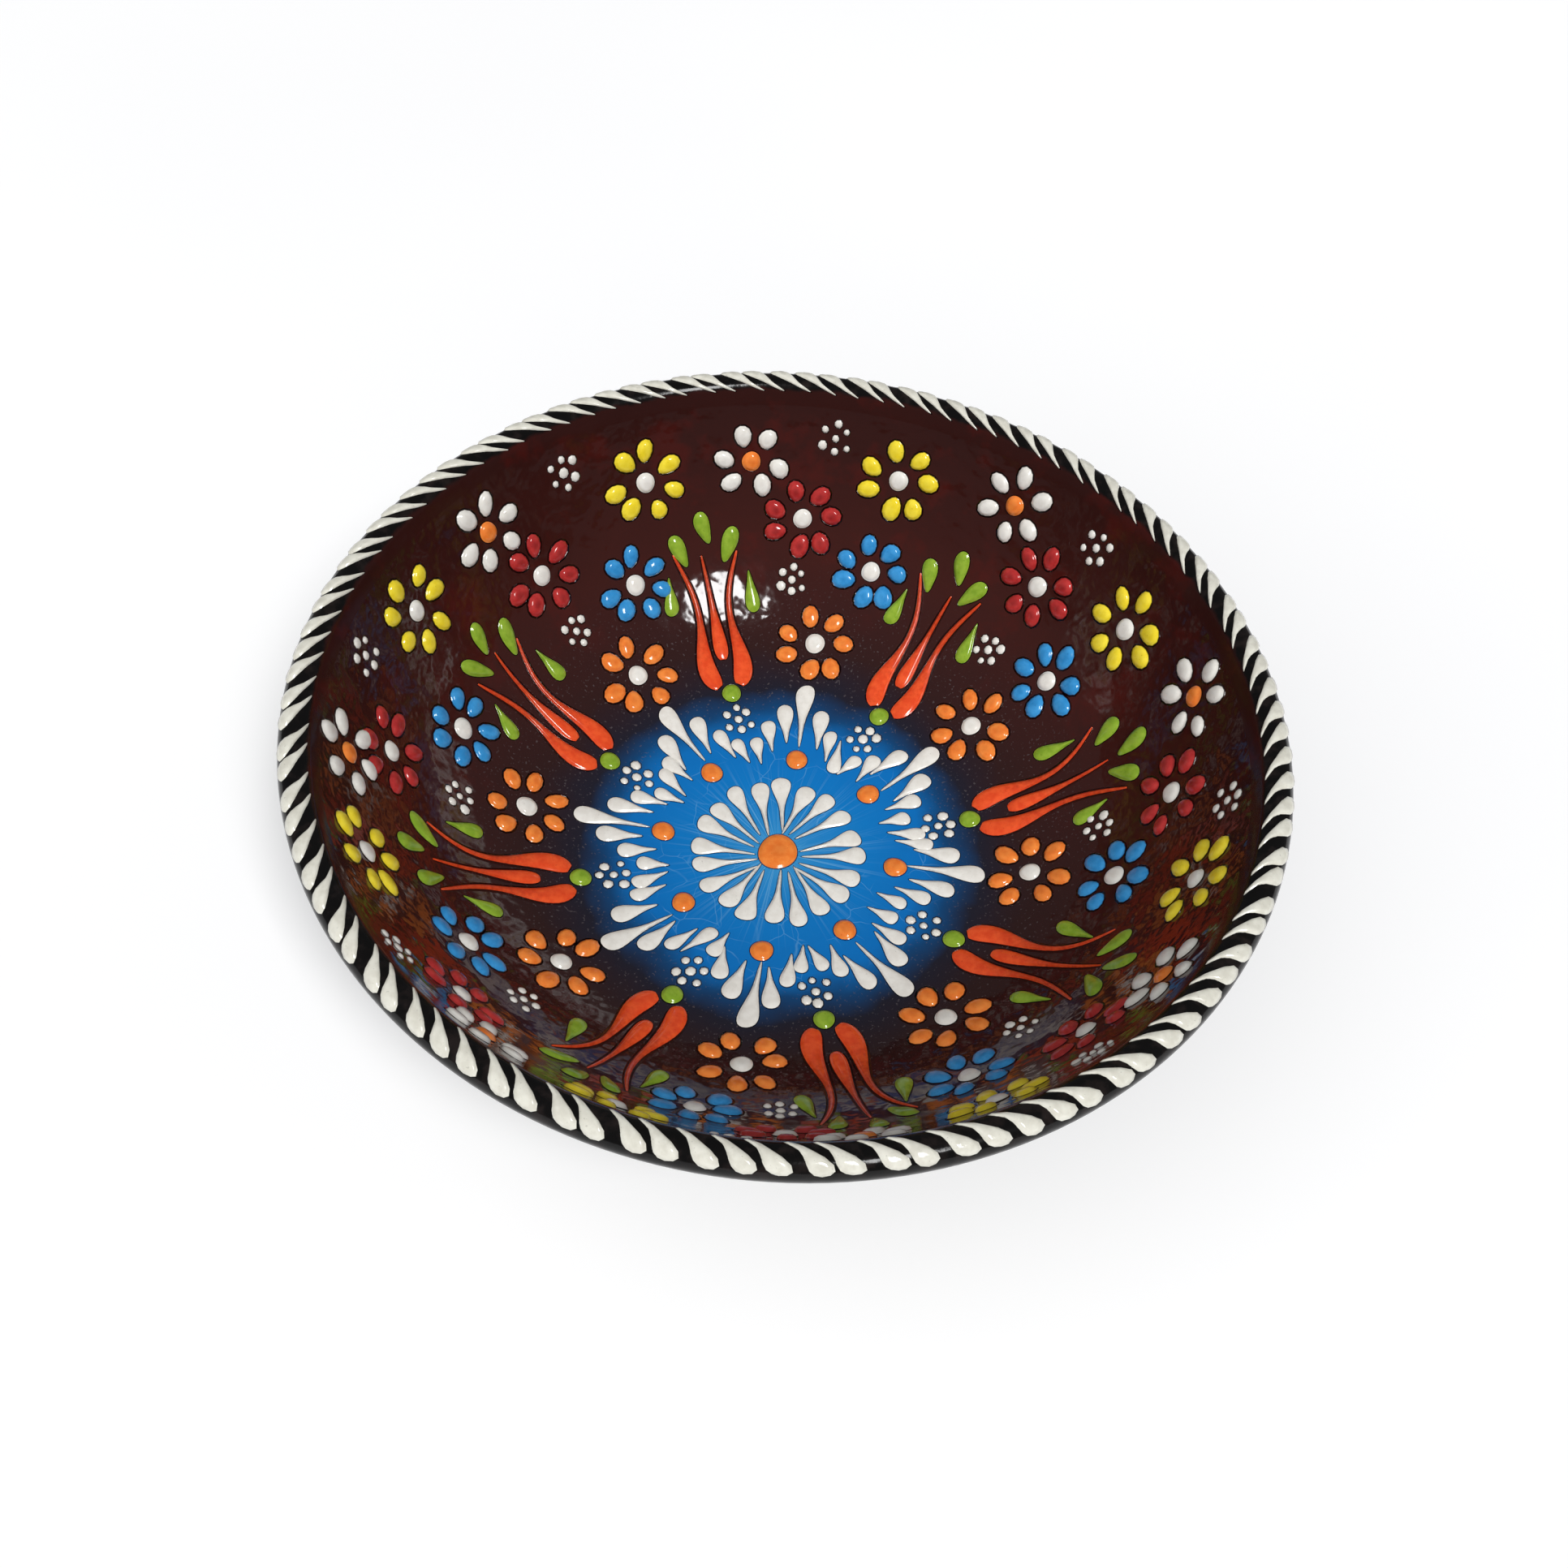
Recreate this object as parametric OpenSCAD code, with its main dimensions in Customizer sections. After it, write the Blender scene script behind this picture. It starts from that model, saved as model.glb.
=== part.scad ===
// Footed ceramic bowl, glazed inside and out and painted with raised dabs of coloured slip.
// Lengths are in millimetres and angles in degrees. +Z is up, and the origin is on the table under
// the centre of the foot ring. Places on the inside wall are given by two numbers: how far from the
// centre of the floor, measured along the wall, and the azimuth about +Z from +X.

/* [Bowl] */
// Diameter over the outside of the rim
rim_d = 160; // [140:1:200]
// Height from the table to the top of the clay rim
bowl_h = 58; // [52:1:70]
// Thickness of the wall, with its glaze on both sides
wall_t = 5.3; // [4:0.1:7]
// Thickness of each coat of glaze
glaze_t = 0.4; // [0.2:0.05:0.7]
// Radius of the bend between the floor and the side, inside
bend_r = 42; // [36:1:48]
// Slope of the side just below the rim
lip_a = 69.5; // [66:0.5:74]
// Depth of the black slip band below the rim, inside and out
band_w = 2.5; // [1.5:0.5:6]

/* [Foot] */
// Diameter over the outside of the foot ring
foot_d = 64; // [52:1:66]
// Width of the foot ring
foot_w = 5; // [3:0.5:8]
// Depth of the hollow inside the foot ring
foot_h = 6; // [3:0.5:9]

/* [Layout] */
// Number of times the design repeats around the bowl
repeats = 8; // [6:1:9]
// Azimuth of the first long ray of the star
first_ray = 39.5; // [0:0.5:90]
// Place of the medallion dots, as a share of the way from the centre to the rim
dot_ring = 0.22; // [0.2:0.01:0.24]
// Place of the tulip bases, as a share of the way from the centre to the rim
tulip_ring = 0.38; // [0.37:0.01:0.4]
// Place of the orange flowers, as a share of the way from the centre to the rim
orange_ring = 0.48; // [0.47:0.01:0.5]
// Place of the blue flowers, as a share of the way from the centre to the rim
blue_ring = 0.65; // [0.63:0.005:0.66]
// Place of the red flowers, as a share of the way from the centre to the rim
red_ring = 0.78; // [0.77:0.005:0.79]
// Place of the yellow flowers, as a share of the way from the centre to the rim
yellow_ring = 0.855; // [0.845:0.005:0.865]
// Place of the white flowers, as a share of the way from the centre to the rim
white_ring = 0.89; // [0.87:0.005:0.9]

/* [Slip] */
// Height of a petal, leaf or flower eye above the glaze
petal_h = 1; // [0.5:0.1:1.6]
// Length of a flower petal
petal_l = 4.3; // [3.5:0.1:5]
// Width of a flower petal at its outer end
petal_w = 3.2; // [2.5:0.1:3.8]
// Distance from the middle of a flower to the middle of a petal
petal_ring = 5.6; // [5:0.1:6]
// Diameter of a flower eye
eye_d = 3.7; // [2.5:0.1:4.2]
// Diameter of the large dot in the centre of the medallion
boss_d = 7.4; // [5:0.1:9]
// Diameter of a medallion dot
dot_d = 4; // [2.5:0.1:5]
// Diameter of a seed dot
seed_d = 1.35; // [0.8:0.05:1.8]
// Length of a tulip from its base to its petal tips
tulip_l = 29; // [24:0.5:31]
// Width of a tulip petal at its fullest
tulip_w = 4.1; // [3:0.1:4.6]
// Length of a leaf beside a tulip
leaf_l = 8; // [5:0.5:9]
// Width of a leaf beside a tulip
leaf_w = 2.9; // [2:0.1:3.4]
// Distance from the middle of a tulip to the leaf beside it
leaf_gap = 7.8; // [7:0.1:8.5]
// Length of a leaf above a tulip
crown_l = 6.8; // [5:0.2:7.4]
// Width of a leaf above a tulip
crown_w = 3; // [2:0.1:3.3]
// Number of strokes in the rosette
rosette_n = 20; // [14:1:22]
// Length of a rosette stroke
rosette_l = 11.5; // [8:0.5:12.5]
// Width of a rosette stroke
rosette_w = 3.6; // [2.5:0.1:3.9]
// Length of a long ray of the star
ray_l = 14; // [10:0.5:15]
// Width of a long ray of the star
ray_w = 3.7; // [2.5:0.1:4]
// Number of white strokes wound over the rim
rope_n = 102; // [60:1:108]
// Width of a rim stroke at its full end
rope_w = 3.5; // [2.5:0.1:4]
// Height of a rim stroke above the rim
rope_h = 0.9; // [0.5:0.1:1.4]
// How far a rim stroke's tail is drawn round, in spacings between strokes
rope_lead = 1.1; // [0.6:0.1:1.3]

/* [Hidden] */
$fn = 24;
wall_fn = 120;

clay = [0.80, 0.66, 0.52];
brown = [0.17, 0.06, 0.05];
black = [0.04, 0.04, 0.04];
white = [0.92, 0.90, 0.86];
orange = [0.93, 0.42, 0.10];
scarlet = [0.86, 0.20, 0.08];
crimson = [0.60, 0.09, 0.10];
blue = [0.10, 0.44, 0.76];
yellow = [0.92, 0.82, 0.03];
green = [0.42, 0.58, 0.10];

// The inside of the bowl is three arcs that run into each other: the floor, the bend and the side.
// The floor and side radii follow from the rim, the height and the bend.
degree = PI / 180;
floor_a = 8;
side_a = 60;
lip_in_r = rim_d / 2 - wall_t / 2 * (1 + sin(lip_a));
lip_in_z = bowl_h - wall_t / 2 * (1 - cos(lip_a));
floor_z = foot_h + wall_t;
run_left = lip_in_r - bend_r * (sin(side_a) - sin(floor_a));
rise_left = lip_in_z - floor_z - bend_r * (cos(floor_a) - cos(side_a));
floor_run = sin(floor_a);
floor_rise = 1 - cos(floor_a);
side_run = sin(lip_a) - sin(side_a);
side_rise = cos(side_a) - cos(lip_a);
solve = floor_run * side_rise - side_run * floor_rise;
floor_r = (run_left * side_rise - side_run * rise_left) / solve;
side_r = (floor_run * rise_left - floor_rise * run_left) / solve;

function down(a) = [sin(a), -cos(a)];
floor_c = [0, floor_z + floor_r];
bend_c = floor_c + (floor_r - bend_r) * down(floor_a);
side_c = bend_c - (side_r - bend_r) * down(side_a);
floor_l = floor_r * floor_a * degree;
bend_l = bend_r * (side_a - floor_a) * degree;
side_l = side_r * (lip_a - side_a) * degree;
wall_l = floor_l + bend_l + side_l;
lip_c = side_c + (side_r + wall_t / 2) * down(lip_a);
band_a = lip_a - band_w / side_r / degree;

// The dabs are drawn for this much wall to each repeat of the design, and follow it up or down
unit_l = 12;
room = wall_l / repeats / unit_l;

// Gap under a dab of slip, so that it lies on the glaze and not in it
seat = 0.04;

// Slope of the wall at a distance s from the centre
function slope(s) =
    s < floor_l ? s / floor_r / degree :
    s < floor_l + bend_l ? floor_a + (s - floor_l) / bend_r / degree :
    side_a + (s - floor_l - bend_l) / side_r / degree;

// Radius and height of the wall at a distance s from the centre
function wall_rz(s) =
    s < floor_l ? floor_c + floor_r * down(slope(s)) :
    s < floor_l + bend_l ? bend_c + bend_r * down(slope(s)) :
    side_c + side_r * down(slope(s));

// The point that stands h above the wall
function wall_at(s, azimuth, h = 0) =
    let (p = wall_rz(s) - h * down(slope(s)))
    [p[0] * cos(azimuth), p[0] * sin(azimuth), p[1]];

// Degrees of azimuth that a length x along the wall takes up at a distance s from the centre
function across(x, s) = x / wall_rz(s)[0] / degree;

// How far the hollow wall rises towards a flat piece that reaches the length half either way
function hollow(s, half) =
    let (n = -down(slope(s)))
    max((wall_rz(s + half) - wall_rz(s)) * n, (wall_rz(max(s - half, 0)) - wall_rz(s)) * n,
        half * half * sin(slope(s)) / 2 / max(wall_rz(s)[0], half));

// A steady unevenness between -1 and 1, as a hand leaves it, for the item i of a set k
function wander(i, k) = sin(i * (97 + 61 * k) + 40 * k);

// Azimuth of the item i in a ring that is set off from the rays by an angle, with hand placing
function sector(i, off = 0) = first_ray + i * 360 / repeats + off;

// Degrees by which each motif was painted off its even place around the bowl
tulip_off = [-1.5, 1, 2.5, 0, 1.5, -1.5, -0.5, -3];
orange_off = [-2, -1.5, -0.5, 2, -1, -0.5, 0, -1];
blue_off = [0.5, -3, -1.5, 0.5, -0.5, 1, -1, 1.5];
red_off = [-1, -2.5, 1, 0.5, -1.5, 0.5, -1, -1.5];
yellow_off = [2, 2.5, -1, -1, -4, 0, 1, 0.5];
white_off = [0.5, -1.5, -1.5, -1.5, 0, 1, 0, 2];

// Shares of the way to the rim by which each flower was painted above or below its ring
level = [0, 0.01, 0, 0.005, 0.005, 0.005, 0, 0];
red_level = [0, -0.035, -0.03, 0.01, 0.015, 0, 0.01, 0.005];
yellow_level = [-0.015, 0, -0.01, 0.015, 0.01, 0, 0, 0];
white_level = [0.005, -0.03, -0.005, 0.005, 0, -0.01, 0, 0];
function off(list, i) = list[i % len(list)];

// Depth below the inside surface, at a given slope, along the three arcs of the wall
function at_slope(a, depth) =
    a <= floor_a ? floor_c + (floor_r + depth) * down(a) :
    a <= side_a ? bend_c + (bend_r + depth) * down(a) :
    side_c + (side_r + depth) * down(a);

// Slopes to draw the wall at, from one slope to another
function slopes(from_a, to_a) =
    let (
        even = concat([for (i = [0 : 7]) floor_a * i / 8],
            [for (i = [0 : 15]) floor_a + (side_a - floor_a) * i / 16],
            [for (i = [0 : 7]) side_a + (lip_a - side_a) * i / 8]),
        least = 0.2
    )
    concat([from_a], [for (a = even) if (a > from_a + least && a < to_a - least) a], [to_a]);

// A line along the wall at one depth, up or down, and a line round the lip, outwards or inwards
function upward(depth, from_a, to_a) = [for (a = slopes(from_a, to_a)) at_slope(a, depth)];
function turned(points) = [for (i = [len(points) - 1 : -1 : 0]) points[i]];
function lip(r) =
    let (n = 12)
    [for (i = [1 : n - 1]) lip_c + r * [cos(lip_a + 90 - 180 * i / n), sin(lip_a + 90 - 180 * i / n)]];

// Slope of the wall where its surface at one depth passes a radius, on the floor or in the bend
function slope_at(r, depth) =
    r < (floor_r + depth) * sin(floor_a) ? asin(r / (floor_r + depth)) :
    asin((r - bend_c[0]) / (bend_r + depth));

// The turned clay: floor, side, rounded rim and foot ring
module clay_body() {
    foot_out = foot_d / 2;
    foot_in = foot_out - foot_w;
    edge = foot_w / 6;
    under = wall_t - glaze_t;
    color(clay)
        rotate_extrude($fn = wall_fn)
            polygon(concat(
                upward(glaze_t, 0, lip_a), lip(wall_t / 2 - glaze_t),
                turned(upward(under, slope_at(foot_out, under), lip_a)),
                [[foot_out, edge], [foot_out - edge, 0], [foot_in + edge, 0], [foot_in, edge]],
                turned(upward(under, 0, slope_at(foot_in, under)))
            ));
}

// The brown glaze that lines the bowl up to the black band
module inside_glaze() {
    color(brown)
        rotate_extrude($fn = wall_fn)
            polygon(concat(upward(0, 0, band_a), turned(upward(glaze_t, 0, band_a))));
}

// The dark glaze on the outside, from just clear of the foot ring up to the black band
module outside_glaze() {
    end_a = slope_at(foot_d / 2 + glaze_t, wall_t - glaze_t);
    color(black)
        rotate_extrude($fn = wall_fn)
            polygon(concat(upward(wall_t - glaze_t, end_a, band_a), turned(upward(wall_t, end_a, band_a))));
}

// The black slip that is brushed over the rim
module rim_slip_band() {
    color(black)
        rotate_extrude($fn = wall_fn)
            polygon(concat(
                upward(0, band_a, lip_a), lip(wall_t / 2), turned(upward(wall_t, band_a, lip_a)),
                upward(wall_t - glaze_t, band_a, lip_a), turned(lip(wall_t / 2 - glaze_t)),
                turned(upward(glaze_t, band_a, lip_a))
            ));
}

// Places a piece on the wall with +Z into the bowl and +Y up the wall, turned towards rising azimuth
module on_wall(s, azimuth, turn = 0) {
    translate(wall_at(s, azimuth))
        rotate([0, -slope(s), azimuth])
            rotate(turn - 90)
                children();
}

// Radius of a ball that stands high above a surface and meets it in a circle of the given width
function ball_r(wide, high) = (wide * wide / 4 + high * high) / 2 / high;

// The part of a dab that shows above the hollow wall, with a flat underside just clear of the glaze
module seated(s, half) {
    reach = 40;
    intersection() {
        children();
        translate([-reach / 2, -reach / 2, hollow(s, half) + seat])
            cube(reach);
    }
}

// A round dab of slip
module dot(s, azimuth, d, high) {
    r = ball_r(d * room, high);
    on_wall(s, azimuth)
        seated(s, d * room / 2)
            translate([0, 0, high - r])
                sphere(r);
}

// An oval dab of slip, a little fuller at the end that it is turned towards
module oval(s, azimuth, turn, length, wide, high) {
    r = ball_r(wide * room, high);
    reach = length * room / 2;
    half = reach / sqrt(1 - pow(1 - high / r, 2));
    fuller = 0.12;
    outline = [
        for (i = [0 : 8])
            let (a = 180 * i / 8 - 90)
            [r * cos(a) * (1 + fuller * sin(a)), half * sin(a)]
    ];
    on_wall(s, azimuth, turn)
        seated(s, reach)
            translate([0, 0, high - r])
                rotate([-90, 0, 0])
                    rotate_extrude()
                        polygon(outline);
}

// Joins rings of points into a closed solid, with a point at each end
function joined(rings) =
    let (n = len(rings[0]), m = len(rings))
    [
        for (i = [0 : m - 2], j = [0 : n - 1])
            let (a = i * n + j, b = i * n + (j + 1) % n)
            each [[a, b, b + n], [a, b + n, a + n]],
        for (j = [1 : n - 2]) each [[0, j + 1, j], [(m - 1) * n, (m - 1) * n + j, (m - 1) * n + j + 1]]
    ];

// The cross-section of a stroke: a low arch of the given width and height, from side to side
function arch(wide, high, n) = [for (j = [0 : n]) [-wide / 2 * cos(180 * j / n), high * sin(180 * j / n)]];

// The fullness of a stroke from its round end, at 0, to its fine tip, at 1
full_at = 0.18;
function taper(u, tip, power) =
    u < full_at ? sqrt(1 - pow(1 - u / full_at, 2) * 0.8) :
    tip + (1 - tip) * pow(1 - (u - full_at) / (1 - full_at), power);

// A straight stroke of slip with its full end towards its turn, drawn out to a narrow tail
module stroke(s, azimuth, turn, length, wide, narrow, high) {
    steps = 5;
    tip = narrow / wide;
    rings = [
        for (i = [0 : steps])
            let (u = i / steps, full = taper(1 - u, tip, 1.2), y = length * room * (u - 0.5))
            [
                for (p = arch(wide * room * full, high * max(full, 0.4), 4))
                    let (up = s + y * cos(turn) - p[0] * sin(turn), x = y * sin(turn) + p[0] * cos(turn))
                    wall_at(up, azimuth + across(x, up), p[1] + seat)
            ]
    ];
    polyhedron(points = [for (ring = rings, p = ring) p], faces = joined(rings));
}

// A tulip petal: a stroke that bulges out at its foot, draws in, and sweeps up to a fine tip
module tulip_petal(s, azimuth, length, wide, bow, curl) {
    steps = 9;
    fine = 0.13;
    swell = 6;
    rings = [
        for (i = [0 : steps])
            let (
                u = i / steps, y = length * u,
                x = bow * (0.45 + 0.55 * swell * u * exp(1 - swell * u)) + curl * pow(u, 3)
            )
            [
                for (p = arch(wide * taper(u, fine, 3), petal_h * taper(u, 2 * fine, 2), 4))
                    wall_at(s + y, azimuth + across(x + p[0], s + y), p[1] + seat)
            ]
    ];
    polyhedron(points = [for (ring = rings, p = ring) p], faces = joined(rings));
}

// A white stroke wound over the rim, from a fine tail inside to a full round end outside
module rope_stroke(azimuth) {
    steps = 6;
    clear = 0.12;
    tail = 0.25;
    tail_a = 142;
    end_a = 32;
    lead = rope_lead * 360 / rope_n;
    rings = [
        for (i = [0 : steps])
            let (
                u = i / steps, round_a = end_a + (tail_a - end_a) * u, full = taper(u, tail, 1),
                turn = azimuth - lead * pow(u, 2)
            )
            [
                for (p = arch(rope_w * full, rope_h * full, 3))
                    let (r = wall_t / 2 + clear + p[1], q = lip_c + r * [cos(round_a), sin(round_a)],
                        a = turn + p[0] / lip_c[0] / degree)
                    [q[0] * cos(a), q[0] * sin(a), q[1]]
            ]
    ];
    polyhedron(points = [for (ring = rings, p = ring) p], faces = joined(rings));
}

module rim_rope_strokes() {
    color(white)
        for (i = [0 : rope_n - 1])
            rope_stroke(i * 360 / rope_n + 0.35 * wander(i, 1));
}

module medallion_boss() {
    color(orange)
        dot(0, 0, boss_d, 1.5 * petal_h);
}

module rosette_strokes() {
    gap = 0.6;
    s = room * (boss_d / 2 + gap + rosette_l / 2);
    color(white)
        for (i = [0 : rosette_n - 1])
            stroke(s + 0.5 * wander(i, 1), i * 360 / rosette_n + 1.2 * wander(i, 2), 0,
                rosette_l, rosette_w + 0.3 * wander(i, 3), 0.45, 0.8 * petal_h);
}

module medallion_dots() {
    color(orange)
        for (i = [0 : repeats - 1])
            dot(dot_ring * wall_l + 0.6 * wander(i, 1), sector(i, 1.2 * wander(i, 2)), dot_d, petal_h);
}

// Where the heads of the long rays of the star end
star_head = tulip_ring * wall_l + 1.5;

module star_long_rays() {
    color(white)
        for (i = [0 : repeats - 1])
            stroke(star_head - room * ray_l / 2, sector(i, 0.6 * wander(i, 4)), 0,
                ray_l, ray_w, 0.5, 0.8 * petal_h);
}

// Short rays step down on each side of a long one. Each step gives the share of a repeat from the
// long ray, and the drop of its head, its length and its width as shares of the long ray.
module star_short_rays() {
    steps = [[0.15, 0.36, 0.6, 0.92], [0.285, 0.64, 0.48, 0.81], [0.415, 0.86, 0.4, 0.73]];
    color(white)
        for (i = [0 : repeats - 1], side = [-1, 1], step = steps)
            let (k = i + 3 * side + 10 * step[0])
            stroke(star_head - room * ray_l * (step[1] + step[2] / 2) + 0.4 * wander(k, 1),
                sector(i, side * step[0] * 360 / repeats + 0.4 * wander(k, 2)), -14 * side * step[0],
                step[2] * ray_l, step[3] * ray_w + 0.2 * wander(k, 3), 0.9, 0.8 * petal_h);
}

// Azimuth of the middle of each tulip, half way between two rays of the star
function tulip_at(i) = sector(i, 180 / repeats + off(tulip_off, i));
tulip_foot = tulip_ring * wall_l;

module tulip_outer_petals() {
    clear = 1.2;
    bow = room * (tulip_w / 2 + 1.65);
    curl = room * 5.5;
    color(scarlet)
        for (i = [0 : repeats - 1], side = [-1, 1])
            tulip_petal(tulip_foot + room * clear, tulip_at(i), room * (tulip_l - 1) + wander(i, side + 2),
                room * tulip_w, side * bow, side * (curl + 0.8 * wander(i, 5)));
}

module tulip_inner_petals() {
    up = room * 7;
    color(scarlet)
        for (i = [0 : repeats - 1])
            tulip_petal(tulip_foot + up, tulip_at(i), room * tulip_l - up + wander(i, 6),
                0.85 * room * tulip_w, 0, 0.8 * wander(i, 7));
}

module tulip_bases() {
    color(green)
        for (i = [0 : repeats - 1])
            dot(tulip_foot - room * 1.1, tulip_at(i), 0.9 * tulip_w, petal_h);
}

// A leaf beside each side of a tulip, with its full end down
module tulip_side_leaves() {
    s = tulip_foot + 0.72 * room * tulip_l;
    color(green)
        for (i = [0 : repeats - 1], side = [-1, 1])
            stroke(s + 1.2 * wander(i, side + 2), tulip_at(i) + across(side * room * leaf_gap, s),
                180 - 14 * side, leaf_l + 0.6 * wander(i, side + 4), leaf_w, 0.7, petal_h);
}

// Three leaves that fan out above the tips of a tulip, with their full ends up
module tulip_crown_leaves() {
    s = tulip_foot + room * (tulip_l + 0.68 * crown_l);
    fan_a = 24;
    color(green)
        for (i = [0 : repeats - 1], k = [-1 : 1])
            stroke(s - 0.53 * room * crown_l * abs(k), tulip_at(i) + across(1.63 * room * crown_w * k, s),
                fan_a * k + 6 * wander(i, k + 3), crown_l + 0.5 * wander(i, k + 5), crown_w, 1.3, petal_h);
}

// A ring of petals about a flower's middle
module petals(s, azimuth, n, k) {
    for (j = [0 : n - 1])
        let (
            i = j + 11 * k, turn = j * 360 / n + 5 * wander(i, 1) + 20 * k,
            out = room * (petal_ring + 0.25 * wander(i, 2)),
            at_s = s + out * cos(turn),
            grow = 1 + 0.09 * wander(i, 3)
        )
        oval(at_s, azimuth + across(out * sin(turn), at_s), turn + 9 * wander(i, 4),
            petal_l * grow, petal_w * (1 + 0.07 * wander(i, 5)), petal_h);
}

// The rings of flowers: share of the way to the rim, turn from the rays, hand placing around and up
orange_flowers = [orange_ring, 1.5, orange_off, level];
blue_flowers = [blue_ring, -5.5, blue_off, level];
red_flowers = [red_ring, 8, red_off, red_level];
yellow_flowers = [yellow_ring, -12, yellow_off, yellow_level];
white_flowers = [white_ring, 16, white_off, white_level];
function flower_s(ring, i) = (ring[0] + off(ring[3], i)) * wall_l;
function flower_a(ring, i) = sector(i, ring[1] + off(ring[2], i));

module flower_petals(ring, n, paint) {
    color(paint)
        for (i = [0 : repeats - 1])
            petals(flower_s(ring, i), flower_a(ring, i), n, i);
}

module flower_eyes(ring, paint) {
    color(paint)
        for (i = [0 : repeats - 1])
            dot(flower_s(ring, i), flower_a(ring, i), eye_d, petal_h);
}

module orange_flower_petals() flower_petals(orange_flowers, 7, orange);
module orange_flower_eyes() flower_eyes(orange_flowers, white);
module blue_flower_petals() flower_petals(blue_flowers, 7, blue);
module blue_flower_eyes() flower_eyes(blue_flowers, white);
module red_flower_petals() flower_petals(red_flowers, 7, crimson);
module red_flower_eyes() flower_eyes(red_flowers, white);
module yellow_flower_petals() flower_petals(yellow_flowers, 7, yellow);
module yellow_flower_eyes() flower_eyes(yellow_flowers, white);
module white_flower_petals() flower_petals(white_flowers, 6, white);
module white_flower_eyes() flower_eyes(white_flowers, orange);

// A cluster of small dots: one in the middle and six around it
module seeds(s, azimuth, spread, k) {
    color(white)
        for (j = [0 : 6])
            let (
                out = j == 0 ? 0 : room * spread * (1 + 0.08 * wander(j + k, 1)),
                turn = 60 * j + 7 * wander(j, 2), at_s = s + out * cos(turn)
            )
            dot(at_s, azimuth + across(out * sin(turn), at_s), seed_d * (1 + 0.14 * wander(j + 7 * k, 3)),
                0.4 * petal_h);
}

module inner_seed_dots() {
    for (i = [0 : repeats - 1])
        seeds(tulip_foot - room * 5.8, tulip_at(i), 1.9 * seed_d, i);
}

module middle_seed_dots() {
    for (i = [0 : repeats - 1])
        seeds(0.615 * wall_l, sector(i, 7.5 + wander(i, 2)), 2 * seed_d, i);
}

module upper_seed_dots() {
    for (i = [0 : repeats - 1])
        seeds(0.915 * wall_l, sector(i, 0.5 + 1.5 * wander(i, 3)), 2 * seed_d, i);
}

clay_body();
inside_glaze();
outside_glaze();
rim_slip_band();
rim_rope_strokes();
medallion_boss();
rosette_strokes();
medallion_dots();
star_long_rays();
star_short_rays();
tulip_outer_petals();
tulip_inner_petals();
tulip_bases();
tulip_side_leaves();
tulip_crown_leaves();
orange_flower_petals();
orange_flower_eyes();
blue_flower_petals();
blue_flower_eyes();
red_flower_petals();
red_flower_eyes();
yellow_flower_petals();
yellow_flower_eyes();
white_flower_petals();
white_flower_eyes();
inner_seed_dots();
middle_seed_dots();
upper_seed_dots();
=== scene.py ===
from math import asin, atan2, cos, hypot, pi, radians, sin, sqrt

import bmesh
import bpy
import numpy as np
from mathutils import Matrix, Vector
from mathutils.bvhtree import BVHTree


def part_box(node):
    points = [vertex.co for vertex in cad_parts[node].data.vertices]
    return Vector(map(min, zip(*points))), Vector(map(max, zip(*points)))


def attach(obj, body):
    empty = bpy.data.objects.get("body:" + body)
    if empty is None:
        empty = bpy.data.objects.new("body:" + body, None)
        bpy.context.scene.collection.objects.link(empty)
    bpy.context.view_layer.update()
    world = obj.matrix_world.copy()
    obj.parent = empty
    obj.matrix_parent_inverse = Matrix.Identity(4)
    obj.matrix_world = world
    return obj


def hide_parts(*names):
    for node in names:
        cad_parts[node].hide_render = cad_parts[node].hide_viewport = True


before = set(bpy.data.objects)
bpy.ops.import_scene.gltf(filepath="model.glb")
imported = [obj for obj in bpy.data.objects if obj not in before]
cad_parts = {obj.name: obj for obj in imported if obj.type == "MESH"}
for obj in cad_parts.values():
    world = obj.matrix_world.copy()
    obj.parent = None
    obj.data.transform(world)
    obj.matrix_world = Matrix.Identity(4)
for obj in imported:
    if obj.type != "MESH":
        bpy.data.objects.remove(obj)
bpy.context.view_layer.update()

scene = bpy.context.scene
scene.view_settings.view_transform = "Standard"

# ---------------------------------------------------------------------------------------------
# Clay body. A bowl thrown in buff earthenware and turned when leather hard, with a round lip and
# a foot ring. Glaze covers it all but the foot ring and the flat inside it, which stay bare.
# ---------------------------------------------------------------------------------------------
turned_steps = 202
same_point = 1e-6
sharp_corner = radians(40)


def merged(node):
    """A copy of a CAD node's mesh, with its loose triangles joined up."""
    bm = bmesh.new()
    bm.from_mesh(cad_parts[node].data)
    bmesh.ops.remove_doubles(bm, verts=bm.verts, dist=same_point)
    return bm


def turned(node):
    """The half section of a CAD node, spun round the bowl's axis."""
    bm = merged(node)
    bmesh.ops.bisect_plane(bm, geom=bm.verts[:] + bm.edges[:] + bm.faces[:], dist=1e-7,
                           plane_co=(0, 0, 0), plane_no=(0, 1, 0), clear_inner=True, clear_outer=True)
    bmesh.ops.delete(bm, geom=bm.faces[:], context="FACES_ONLY")
    bmesh.ops.delete(bm, geom=[v for v in bm.verts if v.co.x < -same_point], context="VERTS")
    bmesh.ops.spin(bm, geom=bm.verts[:] + bm.edges[:], cent=(0, 0, 0), axis=(0, 0, 1), angle=2 * pi,
                   steps=turned_steps, use_merge=True)
    bmesh.ops.remove_doubles(bm, verts=bm.verts, dist=same_point)
    bmesh.ops.recalc_face_normals(bm, faces=bm.faces)
    return bm


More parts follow.
